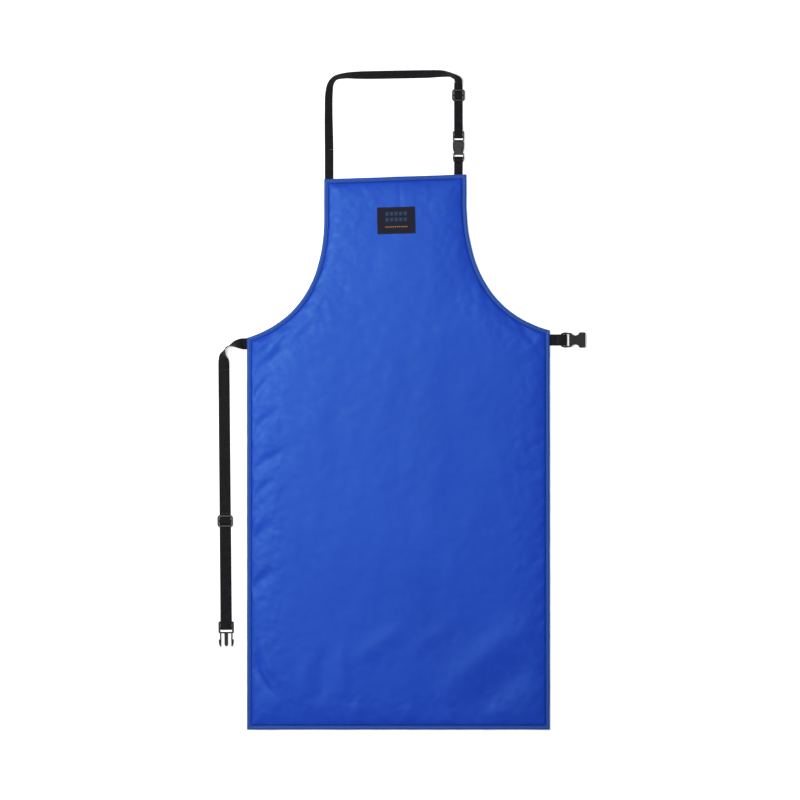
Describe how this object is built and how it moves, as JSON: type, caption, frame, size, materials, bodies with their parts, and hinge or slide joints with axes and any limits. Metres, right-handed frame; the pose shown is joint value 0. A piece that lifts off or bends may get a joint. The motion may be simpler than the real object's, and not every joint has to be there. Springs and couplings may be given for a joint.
{
  "type": "padded apron",
  "caption": "Padded full-length bib apron with bound edges, a woven label and webbing neck and waist straps on side-release buckles, lying flat.",
  "frame": {"origin": "on the flat back face, at the waist line and the middle of the body's width", "axes": "+Y up the apron towards the neck strap, +X to the right seen from the front, +Z out of the front face; it lies on its back"},
  "size_m": [0.8113, 1.4535, 0.025],
  "materials": {
    "shell": "matte",
    "binding": "matte",
    "lining": "matte",
    "padding": "matte",
    "label": "matte",
    "webbing": "matte",
    "plastic": "satin"
  },
  "bodies": {
    "apron": {"back_panel": "lining", "padding": "padding", "front_panel": "shell", "top_binding": "binding", "left_armhole_binding": "binding", "left_side_binding": "binding", "hem_binding": "binding", "right_side_binding": "binding", "right_armhole_binding": "binding", "label_patch": "label", "neck_strap_anchor": "webbing", "neck_tab_anchor": "webbing", "waist_strap_anchor": "webbing", "waist_tab_anchor": "webbing"},
    "neck_loop": {"neck_webbing": "webbing", "neck_tab_webbing": "webbing", "neck_socket": "plastic"},
    "neck_glide": {"neck_glide": "plastic", "neck_webbing_over_glide": "webbing", "neck_webbing_end_loop": "webbing"},
    "neck_plug": {"neck_plug": "plastic", "neck_webbing_round_plug": "webbing", "neck_webbing_front_layer": "webbing", "neck_webbing_back_layer": "webbing", "neck_webbing_leg": "webbing"},
    "neck_prong_left": {"neck_prong_left": "plastic"},
    "neck_prong_right": {"neck_prong_right": "plastic"},
    "waist_strap": {"waist_webbing_root": "webbing"},
    "waist_hanging": {"waist_webbing_bend": "webbing", "waist_webbing": "webbing"},
    "waist_glide": {"waist_glide": "plastic", "waist_webbing_over_glide": "webbing", "waist_webbing_end_loop": "webbing"},
    "waist_plug": {"waist_plug": "plastic", "waist_webbing_round_plug": "webbing", "waist_webbing_front_layer": "webbing", "waist_webbing_back_layer": "webbing"},
    "waist_prong_left": {"waist_prong_left": "plastic"},
    "waist_prong_right": {"waist_prong_right": "plastic"},
    "waist_tab": {"waist_tab_webbing": "webbing", "waist_socket": "plastic"}
  },
  "joints": [
    {"name": "neck_loop_fold", "type": "hinge", "parent": "apron", "child": "neck_loop", "pos_m": [0, 0.3615, 0.004], "axis": [0.9994, 0.035, 0], "range_deg": [0, 120]},
    {"name": "neck_release", "type": "slide", "parent": "neck_loop", "child": "neck_plug", "axis": [0, 1, 0], "range_m": [0, 0.03], "deforming": ["neck_webbing", "neck_prong_left", "neck_prong_right"]},
    {"name": "neck_adjust", "type": "slide", "parent": "neck_plug", "child": "neck_glide", "axis": [0, -1, 0], "range_m": [0, 0.04], "deforming": ["neck_webbing_front_layer", "neck_webbing_back_layer", "neck_webbing_leg"]},
    {"name": "neck_squeeze_left", "type": "hinge", "parent": "neck_plug", "child": "neck_prong_left", "pos_m": [0.1231, 0.43828, 0.0026], "axis": [0, 0, 1], "range_deg": [0, 12], "stiffness_Nm_per_rad": 0.02},
    {"name": "neck_squeeze_right", "type": "hinge", "parent": "neck_plug", "child": "neck_prong_right", "pos_m": [0.1409, 0.43828, 0.0026], "axis": [0, 0, 1], "range_deg": [-12, 0], "stiffness_Nm_per_rad": 0.02},
    {"name": "waist_strap_fold", "type": "hinge", "parent": "apron", "child": "waist_strap", "pos_m": [-0.3355, -0.0084, 0.004], "axis": [0, 1, 0], "range_deg": [0, 120]},
    {"name": "waist_strap_swing", "type": "hinge", "parent": "waist_strap", "child": "waist_hanging", "pos_m": [-0.378, -0.015, 0], "axis": [0, 0, 1], "range_deg": [-90, 2], "deforming": ["waist_webbing_bend"]},
    {"name": "waist_adjust", "type": "slide", "parent": "waist_hanging", "child": "waist_glide", "axis": [0.0087, -1, 0], "range_m": [-0.3, 0.3], "deforming": ["waist_webbing", "waist_webbing_front_layer", "waist_webbing_back_layer"]},
    {"name": "waist_plug_travel", "type": "slide", "parent": "waist_glide", "child": "waist_plug", "axis": [0.0087, -1, 0], "range_m": [-0.15, 0.15], "deforming": ["waist_webbing_front_layer", "waist_webbing_back_layer"]},
    {"name": "waist_squeeze_left", "type": "hinge", "parent": "waist_plug", "child": "waist_prong_left", "pos_m": [-0.39239, -0.6464, 0.0011], "axis": [0, 0, 1], "range_deg": [0, 11], "stiffness_Nm_per_rad": 0.03},
    {"name": "waist_squeeze_right", "type": "hinge", "parent": "waist_plug", "child": "waist_prong_right", "pos_m": [-0.36739, -0.64618, 0.0011], "axis": [0, 0, 1], "range_deg": [-11, 0], "stiffness_Nm_per_rad": 0.03},
    {"name": "waist_tab_fold", "type": "hinge", "parent": "apron", "child": "waist_tab", "pos_m": [0.3355, 0, 0.004], "axis": [0, -1, 0], "range_deg": [0, 120]}
  ],
  "couplings": [
    {"joint": "neck_squeeze_right", "follows": "neck_squeeze_left", "ratio": -1},
    {"joint": "waist_squeeze_right", "follows": "waist_squeeze_left", "ratio": -1},
    {"joint": "waist_plug_travel", "follows": "waist_adjust", "ratio": -0.5}
  ]
}
